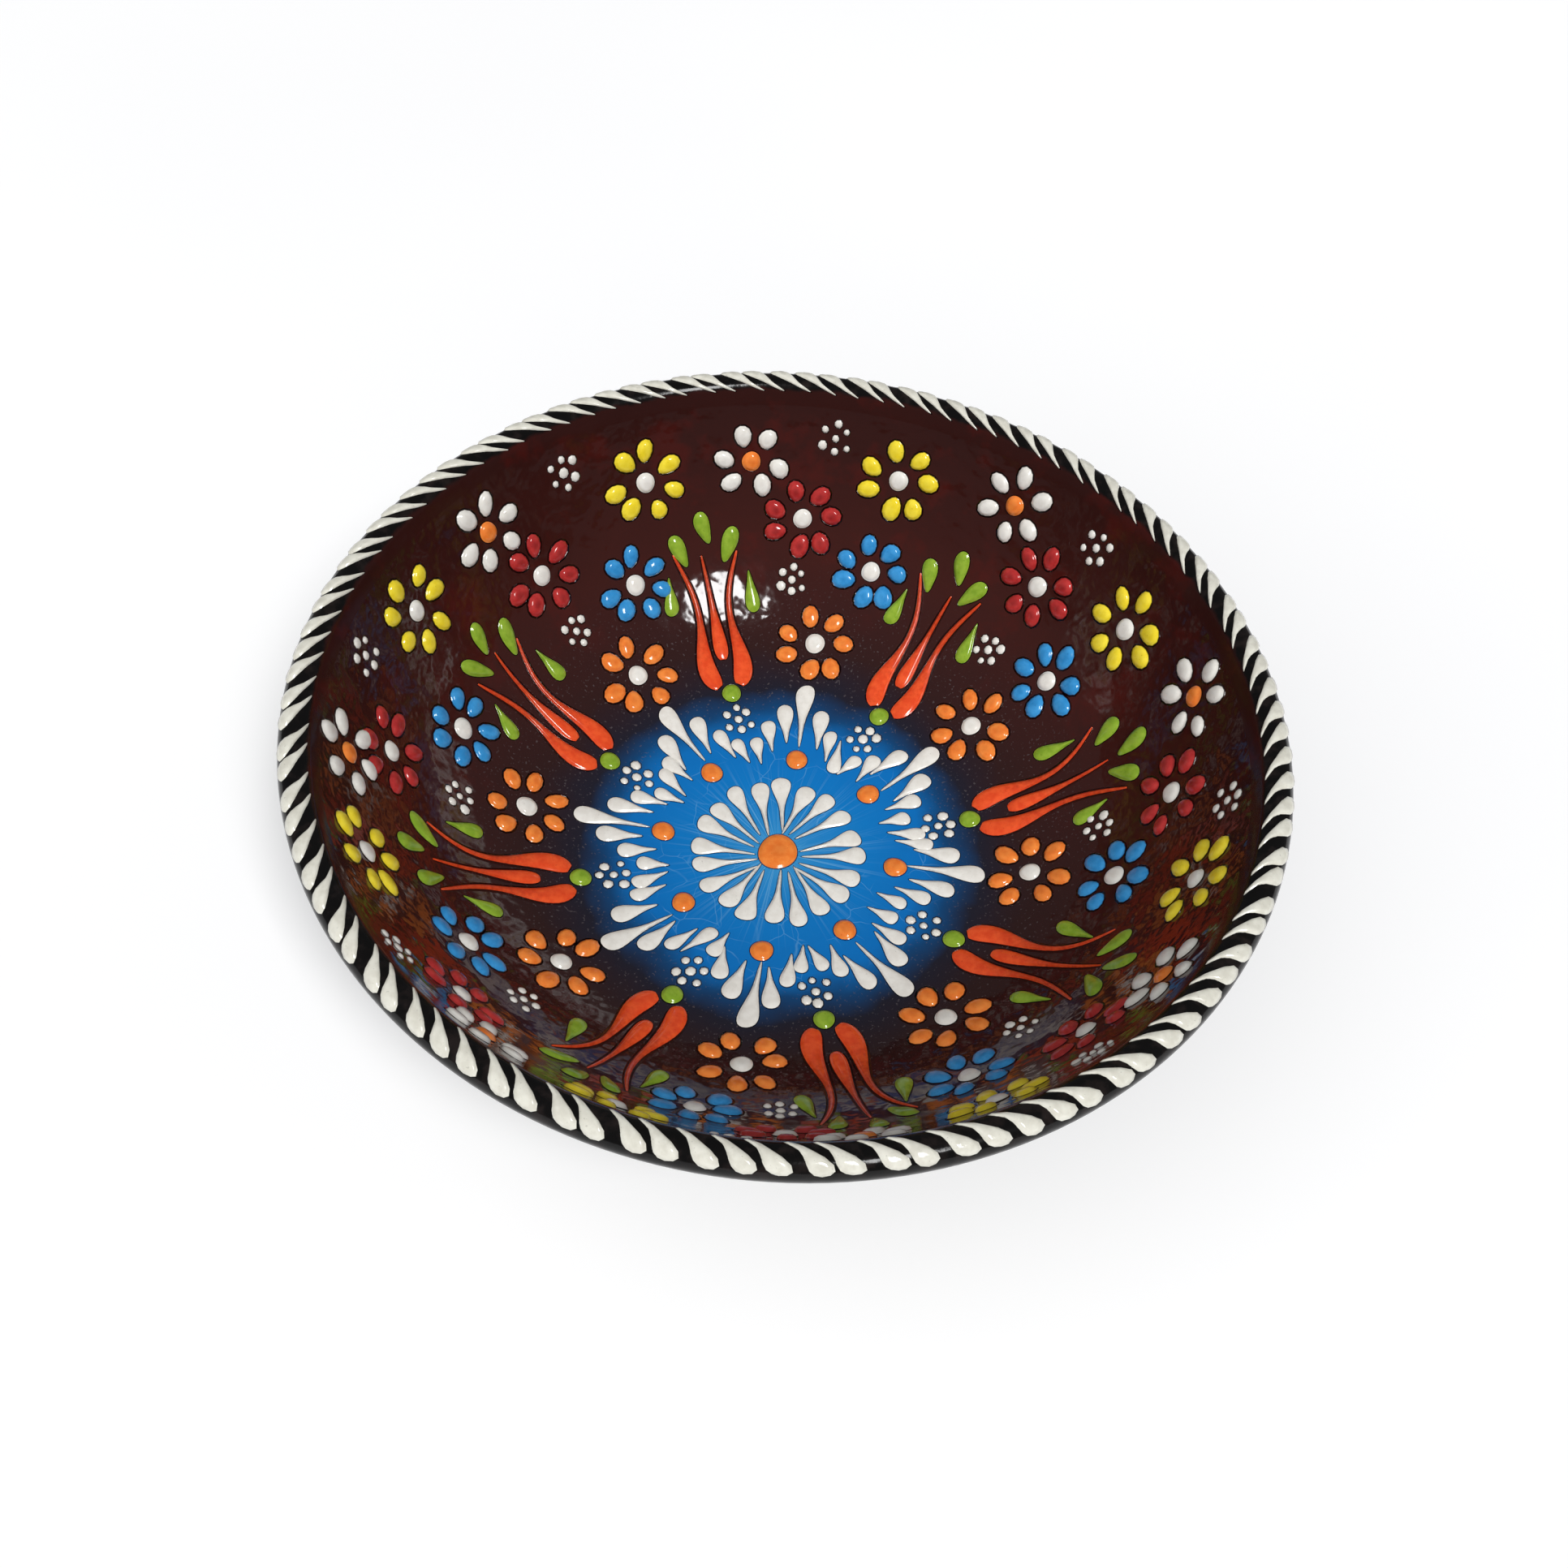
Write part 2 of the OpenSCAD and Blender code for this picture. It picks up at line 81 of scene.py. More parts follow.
def fired(bm, name, node, slot, material, corner=sharp_corner):
    """The finished mesh as a piece of the bowl, smooth but for its sharp corners."""
    for face in bm.faces:
        face.smooth = True
    for edge in bm.edges:
        edge.smooth = len(edge.link_faces) != 2 or edge.calc_face_angle() < corner
    mesh = bpy.data.meshes.new(name)
    bm.to_mesh(mesh)
    bm.free()
    mesh.materials.append(material)
    piece = bpy.data.objects.new(name, mesh)
    scene.collection.objects.link(piece)
    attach(piece, "root")
    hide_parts(node)
    return piece


def srgb(r, g, b):
    """A colour given from 0 to 255, as Blender's linear colour."""
    parts = [c / 255 for c in (r, g, b)]
    return tuple(c / 12.92 if c <= 0.04045 else ((c + 0.055) / 1.055) ** 2.4 for c in parts) + (1,)


class Bench:
    """Lays out the nodes of one material or node group, each with its settings and inputs."""

    def __init__(self, tree):
        self.tree = tree

    def feed(self, node, inputs):
        for socket, value in inputs.items():
            target = node.inputs[socket]
            if isinstance(value, bpy.types.NodeSocket):
                self.tree.links.new(value, target)
            else:
                target.default_value = value
        return node

    def add(self, kind, inputs=(), **settings):
        node = self.tree.nodes.new("ShaderNode" + kind)
        for key, value in settings.items():
            setattr(node, key, value)
        return self.feed(node, dict(inputs))

    def where(self):
        return self.add("TexCoord").outputs["Object"]

    def vector(self, operation, *inputs):
        return self.add("VectorMath", dict(enumerate(inputs)), operation=operation).outputs

    def math(self, operation, a, b):
        return self.add("Math", {0: a, 1: b}, operation=operation).outputs[0]

    def times(self, *parts):
        product = parts[0]
        for part in parts[1:]:
            product = self.math("MULTIPLY", product, part)
        return product

    def sway(self, value, size):
        """Turns a noise into a shift of up to half a size either way."""
        return self.add("Math", {0: value, 1: size, 2: -size / 2}, operation="MULTIPLY_ADD").outputs[0]

    def spread(self, value, low, high, to_low=0.0, to_high=1.0):
        inputs = {"Value": value, "From Min": low, "From Max": high, "To Min": to_low, "To Max": to_high}
        return self.add("MapRange", inputs, interpolation_type="SMOOTHSTEP").outputs["Result"]

    def noise(self, where, scale, detail=2.0, rough=0.5):
        inputs = {"Vector": where, "Scale": scale, "Detail": detail, "Roughness": rough}
        return self.add("TexNoise", inputs).outputs["Fac"]

    def blend(self, factor, a, b):
        return self.add("Mix", {0: factor, 6: a, 7: b}, data_type="RGBA").outputs[2]

    def bump(self, height, depth, strength=1.0, **over):
        inputs = {"Height": height, "Distance": depth, "Strength": strength, **over}
        return self.add("Bump", inputs).outputs["Normal"]

    def ramp(self, value, stops):
        node = self.add("ValToRGB", {0: value})
        points = node.color_ramp.elements
        while len(points) < len(stops):
            points.new(0.5)
        for point, (place, colour) in zip(points, stops):
            point.position, point.color = place, colour
        return node.outputs["Color"]


def finish(name):
    """A new material, its bench and its one shader."""
    material = bpy.data.materials.new(name)
    material.use_nodes = True
    shader = material.node_tree.nodes["Principled BSDF"]
    return material, Bench(material.node_tree), shader


buff, buff_dark, turning_line = srgb(214, 178, 146), srgb(186, 146, 114), srgb(160, 120, 92)
bare_clay, bench, shader = finish("bare_clay")
where = bench.where()
grog = bench.noise(where, 900, 4)
rings = bench.add("TexWave", {"Vector": where, "Scale": 320, "Distortion": 1.5, "Detail": 2.0},
                  wave_type="RINGS", rings_direction="Z").outputs["Fac"]
clay = bench.blend(bench.spread(grog, 0.35, 0.7), buff, buff_dark)
clay = bench.blend(bench.spread(rings, 0.6, 1, 0, 0.25), clay, turning_line)
tooth = bench.bump(grog, depth=0.0001, strength=0.5)
bench.feed(shader, {"Base Color": clay, "Roughness": 0.85, "Normal": tooth})
fired(turned("clay_body"), "thrown_clay", "clay_body", "bare_clay", bare_clay)

# ---------------------------------------------------------------------------------------------
# Inside glaze. The ground is sprayed on: bright blue in the middle, fading over a dusty edge into
# a red brown that is mottled towards the lip. Clear glaze is fired over it and has run in ripples.
# ---------------------------------------------------------------------------------------------
# the spray's colours from the middle to the lip, by share of the lip's radius
lip_mm, ragged_mm = 80.0, 8.0
spray_colours = [
    (0.00, srgb(62, 152, 208)), (0.09, srgb(38, 134, 202)), (0.19, srgb(12, 120, 196)),
    (0.34, srgb(8, 110, 187)), (0.40, srgb(14, 66, 114)), (0.46, srgb(30, 29, 42)),
    (0.56, srgb(47, 25, 24)), (0.78, srgb(61, 25, 21)), (1.00, srgb(43, 19, 17))]
brush_line, craze_line = srgb(128, 190, 226), srgb(120, 182, 222)
dust_grey, thin_red = srgb(104, 96, 98), srgb(98, 22, 16)

sprayed = bpy.data.node_groups.new("sprayed_ground", "ShaderNodeTree")
sprayed.interface.new_socket("Colour", in_out="OUTPUT", socket_type="NodeSocketColor")
sprayed.interface.new_socket("Ripple", in_out="OUTPUT", socket_type="NodeSocketFloat")
bench = Bench(sprayed)
where = bench.where()
flat = bench.vector("MULTIPLY", where, (1000, 1000, 0))[0]
out = bench.vector("LENGTH", flat)["Value"]
edge = bench.math("ADD", out, bench.sway(bench.noise(where, 75, 3), ragged_mm))
ground = bench.ramp(bench.math("DIVIDE", edge, lip_mm), spray_colours)
# thin brush lines run out from the middle, and the glaze over the blue is finely crazed
spoke = bench.vector("NORMALIZE", flat)[0]
streak = bench.spread(bench.noise(spoke, 26, 3, 0.6), 0.5, 0.68)
lines = bench.times(streak, bench.spread(out, 5, 24, 1, 0))
ground = bench.blend(bench.times(lines, 0.5), ground, brush_line)
bent = bench.add("TexNoise", {"Vector": where, "Scale": 160.0, "Detail": 2.0}).outputs["Color"]
bent = bench.vector("MULTIPLY_ADD", bent, (0.004, 0.004, 0), where)[0]
cells = bench.add("TexVoronoi", {"Vector": bent, "Scale": 170.0}, feature="DISTANCE_TO_EDGE")
cracks = bench.spread(cells.outputs["Distance"], 0.0, 0.022, 1, 0)
patches = bench.spread(bench.noise(where, 120, 1), 0.42, 0.6)
craze = bench.times(cracks, bench.spread(out, 24, 33, 1, 0), patches)
ground = bench.blend(bench.times(craze, 0.3), ground, craze_line)
# the spray's edge is dusty, and the brown shows red where it is thin
specks = bench.spread(bench.noise(where, 1900, 1), 0.64, 0.74)
dust = bench.times(specks, bench.spread(out, 27, 33), bench.spread(out, 46, 62, 1, 0))
ground = bench.blend(bench.times(dust, 0.4), ground, dust_grey)
mottle = bench.spread(bench.noise(where, 95, 4, 0.6), 0.52, 0.68)
thin = bench.times(mottle, bench.spread(out, 46, 66))
ground = bench.blend(bench.times(thin, 0.25), ground, thin_red)
wave, run = bench.noise(where, 210, 2), bench.noise(where, 70, 1)
bench.feed(sprayed.nodes.new("NodeGroupOutput"), {"Colour": ground, "Ripple": bench.math("ADD", wave, run)})

ground_glaze, bench, shader = finish("ground_glaze")
spray = bench.add("Group", node_tree=sprayed).outputs
bench.feed(shader, {"Base Color": spray["Colour"], "Roughness": 0.09, "IOR": 1.5, "Specular IOR Level": 0.4,
                    "Normal": bench.bump(spray["Ripple"], depth=0.00025)})
fired(turned("inside_glaze"), "glazed_ground", "inside_glaze", "inside_glaze", ground_glaze)

# ---------------------------------------------------------------------------------------------
# Outside glaze. The same clear glaze over a plain black brown stain, brushed on in turns of the
# wheel, from the lip down to the foot ring.
# ---------------------------------------------------------------------------------------------
stain_dark, stain_thin = srgb(20, 15, 15), srgb(38, 22, 20)
brush_turns = (60, 60, 900)
outer_glaze, bench, shader = finish("outer_glaze")
where = bench.where()
brushed = bench.noise(bench.vector("MULTIPLY", where, brush_turns)[0], 1.0, 3)
stain = bench.blend(bench.spread(brushed, 0.4, 0.7), stain_dark, stain_thin)
bench.feed(shader, {"Base Color": stain, "Roughness": 0.2, "Specular IOR Level": 0.25,
                    "Normal": bench.bump(bench.noise(where, 150, 2), depth=0.00006)})
fired(turned("outside_glaze"), "glazed_outside", "outside_glaze", "outside_glaze", outer_glaze)

# ---------------------------------------------------------------------------------------------
# Rim band. Black slip brushed over the round lip and a little way down both sides, under the
# clear glaze. It is the dark ground that the white rope lies on.
# ---------------------------------------------------------------------------------------------
# the band's lower edge inside the bowl wavers, and the sprayed ground shows below it
edge_low, edge_high, edge_waver = 0.0565, 0.0572, 0.0016
inside_r, outside_r = 0.0765, 0.0775
band_black, band_worn = srgb(14, 13, 13), srgb(34, 28, 27)
rim_black, bench, shader = finish("rim_black")
where = bench.where()
worn = bench.noise(where, 420, 3)
black = bench.blend(bench.spread(worn, 0.45, 0.75), band_black, band_worn)
height = bench.add("SeparateXYZ", {0: where}).outputs["Z"]
out = bench.vector("LENGTH", bench.vector("MULTIPLY", where, (1, 1, 0))[0])["Value"]
height = bench.math("ADD", height, bench.sway(bench.noise(where, 260, 3), edge_waver))
below = bench.spread(height, edge_low, edge_high, 1, 0)
inside = bench.spread(out, inside_r, outside_r, 1, 0)
spray = bench.add("Group", node_tree=sprayed).outputs
bench.feed(shader, {"Base Color": bench.blend(bench.times(below, inside), black, spray["Colour"]),
                    "Roughness": 0.14, "Specular IOR Level": 0.2, "Normal": bench.bump(worn, depth=0.00005)})
fired(turned("rim_slip_band"), "rim_band", "rim_slip_band", "black_slip", rim_black)

# ---------------------------------------------------------------------------------------------
# Rim rope. White slip trailed from a nozzle over the lip in slanting strokes, each full outside
# and drawn to a tail inside, close enough together to look like a twisted rope.
# ---------------------------------------------------------------------------------------------
rope_w, rope_h, rope_foot = 0.0035, 0.0006, 0.0003
lean_in, lean_far = 0.05, 0.15
collar_w = 0.00075
# how far out each ring of a dab lies, how high it stands, and how the slip looks there, from its
# deep crown through its edge to the bare glaze round it
dab_rings = [(0, 1.04, -1), (0.6, 0.94, -0.5), (0.92, 0.6, -0.1), (1, 0.1, 0),
             (1, -0.00004, 1), (0, -0.00012, 1)]
tail_look = 0.11
# no two dabs are quite alike: how far the hand strays, and how lopsided a dab is
stray, lop_two, lop_three = 0.05, 0.04, 0.03
hand = np.random.default_rng(11)


def islands(node):
    """The points of each separate dab in a CAD node, in order round the bowl."""
    bm = merged(node)
    left, found = set(bm.verts), []
    for start in bm.verts:
        if start not in left:
            continue
        left.discard(start)
        grown, at = [start], 0
        while at < len(grown):
            for rim in grown[at].link_edges:
                other = rim.other_vert(grown[at])
                if other in left:
                    left.discard(other)
                    grown.append(other)
            at += 1
        found.append(np.array([v.co[:] for v in grown]))
    bm.free()
    return sorted(found, key=lambda points: (
        round(atan2(points[:, 1].mean(), points[:, 0].mean()), 4), round(points[:, 2].mean(), 5)))


def azimuths(points):
    """The middle of some points round the bowl, and how far each one swings from it."""
    angle = np.arctan2(points[:, 1], points[:, 0])
    middle = np.angle(np.exp(1j * angle).mean())
    return middle, np.angle(np.exp(1j * (angle - middle)))


def fullest(taper):
    """The greatest half width of a tapered outline, which its width is set by."""
    top = taper / (1 + taper)
    return sqrt(1 - top * top) * ((1 + top) / 2) ** taper


def look_layer(bm):
    """The attribute that tells a slip's material the crown, the edge and the collar of a dab."""
    return bm.verts.layers.float.get("foot") or bm.verts.layers.float.new("foot")


def lay_dab(bm, place, length, width, height, taper=0.0, tail=0.0, sides=12, foot=collar_w):
    """One dab of slip: a ball pulled out and flattened, in a low collar of clear glaze, sunk a hair
    into what it lies on. A taper draws its lower end to a tail."""
    full = fullest(taper)
    shy = 1 + stray * hand.standard_normal(3)
    mark = look_layer(bm)
    bands = len(dab_rings) - 1
    for v in bmesh.ops.create_uvsphere(bm, u_segments=sides, v_segments=bands, radius=1)["verts"]:
        out, up, look = dab_rings[round((0.5 - asin(max(-1, min(1, v.co.z))) / pi) * bands)]
        turn = atan2(v.co.y, v.co.x)
        lop = 1 + lop_two * sin(2 * turn + 6 * shy[0]) + lop_three * sin(3 * turn + 40 * shy[1])
        along = out * sin(turn)
        slim = max(((1 + along) / 2) ** taper / full, tail)
        x = out * cos(turn) * width / 2 * slim * lop
        y = along * length / 2 * lop
        h = up * height * shy[2] * min(1, 0.45 + 0.55 * slim * full)
        if up < 0:
            x, y, h = x + out * foot * cos(turn), y + out * foot * sin(turn), up
        else:
            look = look * min(1, slim) + tail_look * (1 - min(1, slim))
        v[mark] = look
        v.co = place(x, y, h)


def dabs_done(bm, name, node, slot, material, rounded=True):
    """Closes a layer of dabs and, where they aren't many, rounds them off by one level."""
    bmesh.ops.recalc_face_normals(bm, faces=bm.faces)
    piece = fired(bm, name, node, slot, material, corner=2 * pi)
    if rounded:
        soften = piece.modifiers.new("soften", "SUBSURF")
        soften.levels = soften.render_levels = 1


# slip under clear glaze: deeper on the crown of a dab and where it is thin, then a collar of glaze
# alone, with a low ridge, over whatever ground it lies on, with painted shade darkening that ground round the
# dab's foot
glazed_slip = bpy.data.node_groups.new("glazed_slip", "ShaderNodeTree")
for socket in ("Body", "Pale", "Deep", "Ground"):
    glazed_slip.interface.new_socket(socket, in_out="INPUT", socket_type="NodeSocketColor")
for socket in ("Crown", "Shade"):
    glazed_slip.interface.new_socket(socket, in_out="INPUT", socket_type="NodeSocketFloat")
glazed_slip.interface.new_socket("Colour", in_out="OUTPUT", socket_type="NodeSocketColor")
for socket in ("Cloud", "Ridge"):
    glazed_slip.interface.new_socket(socket, in_out="OUTPUT", socket_type="NodeSocketFloat")
# painted shade: the ground is darkened toward this colour in a ring round the foot of each dab
painted_collar_shade = srgb(6, 4, 4)
bench = Bench(glazed_slip)
given = glazed_slip.nodes.new("NodeGroupInput").outputs
where = bench.where()
cloudy = bench.noise(where, 700, 3)
colour = bench.blend(bench.spread(cloudy, 0.3, 0.7), given["Body"], given["Pale"])
pits = bench.spread(bench.noise(where, 2600, 1), 0.70, 0.78)
colour = bench.blend(bench.times(pits, 0.35), colour, given["Deep"])
foot = bench.add("Attribute", attribute_name="foot").outputs["Fac"]
foot = bench.math("ADD", foot, bench.sway(bench.noise(where, 1500, 2), 0.12))
colour = bench.blend(bench.spread(foot, -0.95, -0.4, given["Crown"], 0), colour, given["Deep"])
colour = bench.blend(bench.spread(foot, 0.0, 0.12, 0, 0.5), colour, given["Deep"])
# painted shade round the foot of each dab, as strong as Shade at the dab's edge and fading out across the
# collar
under = bench.blend(bench.spread(foot, 0.2, 0.65, given["Shade"], 0), given["Ground"], painted_collar_shade)
colour = bench.blend(bench.spread(foot, 0.08, 0.2), colour, under)
ridge = bench.times(bench.spread(foot, 0.1, 0.32), bench.spread(foot, 0.32, 0.6, 1, 0))
bench.feed(glazed_slip.nodes.new("NodeGroupOutput"), {"Colour": colour, "Cloud": cloudy, "Ridge": ridge})


def slip(name, body, pale, deep, crown=0.1, under=None):
    """A slip colour under clear glaze, on the sprayed ground unless another colour is under it."""
    material, bench, shader = finish(name)
    own = {"Body": body, "Pale": pale, "Deep": deep, "Crown": crown}
    if under is None:
        spray = bench.add("Group", node_tree=sprayed).outputs
        # painted shade of 0.6 round the foot of each dab on the sprayed ground
        own.update({"Ground": spray["Colour"], "Shade": 0.6})
    else:
        own.update({"Ground": under, "Shade": 0})
    layer = bench.add("Group", own, node_tree=glazed_slip).outputs
    ripple = bench.bump(spray["Ripple"] if under is None else layer["Cloud"], depth=0.00004)
    bench.feed(shader, {"Base Color": layer["Colour"], "Roughness": 0.12, "IOR": 1.5,
                        "Normal": bench.bump(layer["Ridge"], depth=0.00028, Normal=ripple)})
    return material


lip_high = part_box("rim_slip_band")[1].z
rim_r, lip_r = 0.08, 0.00265
lip_out, lip_up = rim_r - lip_r, lip_high - lip_r
rope_white = slip("rope_white", srgb(214, 211, 198), srgb(229, 227, 215), srgb(138, 136, 126), under=band_black)
bm = bmesh.new()
for points in islands("rim_rope_strokes"):
    over = np.arctan2(points[:, 2] - lip_up, np.hypot(points[:, 0], points[:, 1]) - lip_out)
    middle, swing = azimuths(points)
    lead = np.polyfit(over, swing, 2)
    low, high = over.min(), over.max()

    def over_lip(x, y, h):
        at = (low + high) / 2 + lean_in + lean_far * sin(middle) - y / lip_r
        round_bowl = middle + np.polyval(lead, at) + x / lip_out
        r = lip_out + (lip_r + h) * cos(at)
        return Vector((r * cos(round_bowl), r * sin(round_bowl), lip_up + (lip_r + h) * sin(at)))

    lay_dab(bm, over_lip, (high - low) * lip_r, rope_w, rope_h, taper=1.0, tail=0.5, sides=16, foot=rope_foot)
dabs_done(bm, "rim_rope", "rim_rope_strokes", "white_slip", rope_white, rounded=False)

# ---------------------------------------------------------------------------------------------
# Medallion boss and dots. A large round blob of orange slip in the very middle, and eight small
# ones round the star, dropped from the nozzle and left to flow out.
# ---------------------------------------------------------------------------------------------
boss_h, boss_squeeze = 0.0009, 0.96
# slip settles to this share of the height of its CAD dab
settled = 0.8
# nearer the centre than this, a width isn't turned into an angle round the bowl
least_r = 0.003
# rays from the middle of the mouth find the line of the wall, from the bowl's centre to its lip
fan_rays, fan_first, fan_angle = 701, 0.05, 88
coats = bmesh.new()
for node in ("inside_glaze", "rim_slip_band"):
    coats.from_mesh(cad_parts[node].data)
tree = BVHTree.FromBMesh(coats)
coats.free()
fan = [radians(fan_first + fan_angle * i / (fan_rays - 1)) for i in range(fan_rays)]
aims = [Vector((sin(a), 1e-4, -cos(a))).normalized() for a in fan]
hits = [tree.ray_cast(Vector((0, 0, lip_high)), aim)[0] for aim in aims]
wall_r = np.array([hypot(p.x, p.y) for p in hits if p])
wall_z = np.array([p.z for p in hits if p])
wall_s = np.concatenate([[0], np.cumsum(np.hypot(np.diff(wall_r), np.diff(wall_z)))])
wall_a = np.arctan2(np.gradient(wall_z, wall_s), np.gradient(wall_r, wall_s))


def on_wall(along, azimuth, turn):
    """Lays a dab on the inside of the bowl: its middle at a length up the wall from the centre and
    an angle round it, its full end turned that far from straight up the wall."""
    def place(x, y, h):
        s = along + y * cos(turn) + x * sin(turn)
        a = azimuth
        if s < 0:
            s, a = -s, a + pi
        r, z, tilt = (np.interp(s, wall_s, track) for track in (wall_r, wall_z, wall_a))
        a += (y * sin(turn) - x * cos(turn)) / max(r, least_r)
        r -= h * sin(tilt)
        return Vector((r * cos(a), r * sin(a), z + h * cos(tilt)))
    return place


def up_wall(points):
    """How far up the wall from the centre each point stands, and how far off the wall."""
    far = np.hypot(points[:, 0], points[:, 1])
    gap = (far[:, None] - wall_r) ** 2 + (points[:, 2:3] - wall_z) ** 2
    return wall_s[gap.argmin(1)], np.sqrt(gap.min(1))


def lie_of(points):
    """Where a CAD dab lies on the wall: length up it, angle round it, turn, length, width, height."""
    up, off = up_wall(points)
    middle, swing = azimuths(points)
    across = swing * np.interp(up, wall_s, wall_r)
    best = None
    for turn in np.radians(np.arange(0, 180, 3)):
        reach = up * cos(turn) + across * sin(turn)
        if best is None or np.ptp(reach) > best[0]:
            best = np.ptp(reach), turn, reach, across * cos(turn) - up * sin(turn)
    length, turn, reach, side = best
    mid = (reach.max() + reach.min()) / 2
    side_mid = (side.max() + side.min()) / 2
    # the wider end is the full one
    upper, lower = reach > mid + 0.2 * length, reach < mid - 0.2 * length
    ends = [np.ptp(side[part]) if part.any() else 0 for part in (upper, lower)]
    if ends[1] > ends[0]:
        turn += pi
        mid, side_mid = -mid, -side_mid
    s = mid * cos(turn) - side_mid * sin(turn)
    shift = (mid * sin(turn) + side_mid * cos(turn)) / max(np.interp(s, wall_s, wall_r), 1e-4)
    return s, middle + shift, turn, length, np.ptp(side), off.max()


def dabs_on_wall(name, node, slot, material, taper=0.0, tail=0.0, sides=12, wide=1.0, middles=(), apart=1.0,
                 lift=0.0, vary=0.0, rounded=True, groups=None):
    """One layer of like dabs, each where its CAD dab lies. Those round a middle may be spaced anew, and
    a layer may be lifted up the wall."""
    bm = bmesh.new()
    for points in groups or islands(node):
        s, azimuth, turn, length, width, high = lie_of(points)
        if len(middles):
            r = np.interp(s, wall_s, wall_r)
            swing = np.angle(np.exp(1j * (azimuth - middles[:, 1]))) * r
            rise = s - middles[:, 0]
            near = np.hypot(swing, rise).argmin()
            s = middles[near, 0] + rise[near] * apart
            azimuth = middles[near, 1] + swing[near] * apart / r
        grow = 1 + vary * hand.uniform(-1, 1)
        lay_dab(bm, on_wall(s + lift, azimuth, turn), length * grow, width * wide * grow, high * settled,
                taper, tail, sides=sides)
    dabs_done(bm, name, node, slot, material, rounded)


def in_the_middle(x, y, h):
    """Lays a dab on the very middle of the floor."""
    r, a = hypot(x, y), atan2(y, x)
    return Vector((r * cos(a), r * sin(a), np.interp(r, wall_s, wall_z) + h))


orange = slip("orange_slip", srgb(239, 124, 48), srgb(247, 144, 64), srgb(178, 70, 22), crown=0.25)
boss_d = np.ptp(np.concatenate(islands("medallion_boss"))[:, 0])
bm = bmesh.new()
lay_dab(bm, in_the_middle, boss_d, boss_d * boss_squeeze, boss_h, sides=24)
dabs_done(bm, "middle_boss", "medallion_boss", "orange_slip", orange)
dabs_on_wall("star_dots", "medallion_dots", "orange_slip", orange)

# ---------------------------------------------------------------------------------------------
# Rosette and star. White slip trailed as teardrops: twenty drawn in to the boss as a daisy, then
# the long and short rays of an eight pointed star, each full outside with its tail inwards.
# ---------------------------------------------------------------------------------------------
one_ray_w = 0.0045
white = slip("white_slip", srgb(229, 225, 217), srgb(239, 236, 229), srgb(180, 174, 167))
dabs_on_wall("daisy_strokes", "rosette_strokes", "white_slip", white, taper=3.4, tail=0.13, sides=24)
dabs_on_wall("long_rays", "star_long_rays", "white_slip", white, taper=2.6, tail=0.17, sides=20)
rays = []
for points in islands("star_short_rays"):
    across = azimuths(points)[1] * np.hypot(points[:, 0], points[:, 1])
    # two rays that run together are told apart down their middle
    left = across < (across.min() + across.max()) / 2
    rays += [points[left], points[~left]] if np.ptp(across) > one_ray_w else [points]
dabs_on_wall("short_rays", "star_short_rays", "white_slip", white, taper=1.7, tail=0.2, sides=16, groups=rays)

# ---------------------------------------------------------------------------------------------
# Tulips. Three strokes of red orange slip each, full at the foot of the flower and flicked up the
# wall to a hair, the outer two bowed like a lyre, with a green blob where they meet.
# ---------------------------------------------------------------------------------------------
stroke_tail, stroke_w, foot_lift = 0.24, 0.8, 0.001
belly, slice_half, nudge = 0.4, 0.002, 0.02
# round a stroke, first over the slip: the share of its half width and of its height, then under
# it along the collar: the side, the share of the collar's width, the height and the look there
over_slip = [(1, 0.12), (0.86, 0.66), (0.5, 0.95), (0, 1.02), (-0.5, 0.95), (-0.86, 0.66), (-1, 0.12)]
in_collar = [(-1, -0.55, 0.00008, 0.5), (-1, -1, -0.00004, 1), (0, 0, -0.00012, 1), (1, 1, -0.00004, 1),
             (1, 0.55, 0.00008, 0.5)]
beneath = len(over_slip) + 2
scarlet = slip("scarlet_slip", srgb(227, 72, 32), srgb(239, 90, 42), srgb(134, 28, 16))
green = slip("green_slip", srgb(128, 162, 42), srgb(148, 178, 56), srgb(60, 86, 18))


def trail_stroke(bm, place, length, width, height, taper, tail, bend):
    """One long stroke of slip: a ball with its poles at the two ends, drawn out along a bent line."""
    full = fullest(taper)
    mark = look_layer(bm)
    parts = len(over_slip) + len(in_collar)
    for v in bmesh.ops.create_uvsphere(bm, u_segments=parts, v_segments=16, radius=1)["verts"]:
        along, thin = v.co.z, sqrt(max(0, 1 - v.co.z ** 2))
        fine = tail * (0.6 + 0.4 * (1 + along)) * sqrt(thin)
        half = width / 2 * max(((1 + along) / 2) ** taper / full * thin, fine)
        rise = height * thin ** 0.6 * min(1, 0.4 + 1.2 * half / width)
        part = round(atan2(v.co.y, v.co.x) / (2 * pi / parts)) % parts if thin > 1e-4 else beneath
        if part < len(over_slip):
            x, h = over_slip[part][0] * half, over_slip[part][1] * rise
            v[mark] = tail_look * (1 - min(1, 2 * half / width)) * sqrt(thin)
        else:
            side, share, h, v[mark] = in_collar[part - len(over_slip)]
            x = side * half + share * collar_w * sqrt(thin)
        slope = (bend(along + nudge) - bend(along - nudge)) / (nudge * length)
        lean = sqrt(1 + slope * slope)
        v.co = place(bend(along) + x / lean, along * length / 2 - x * slope / lean, h)


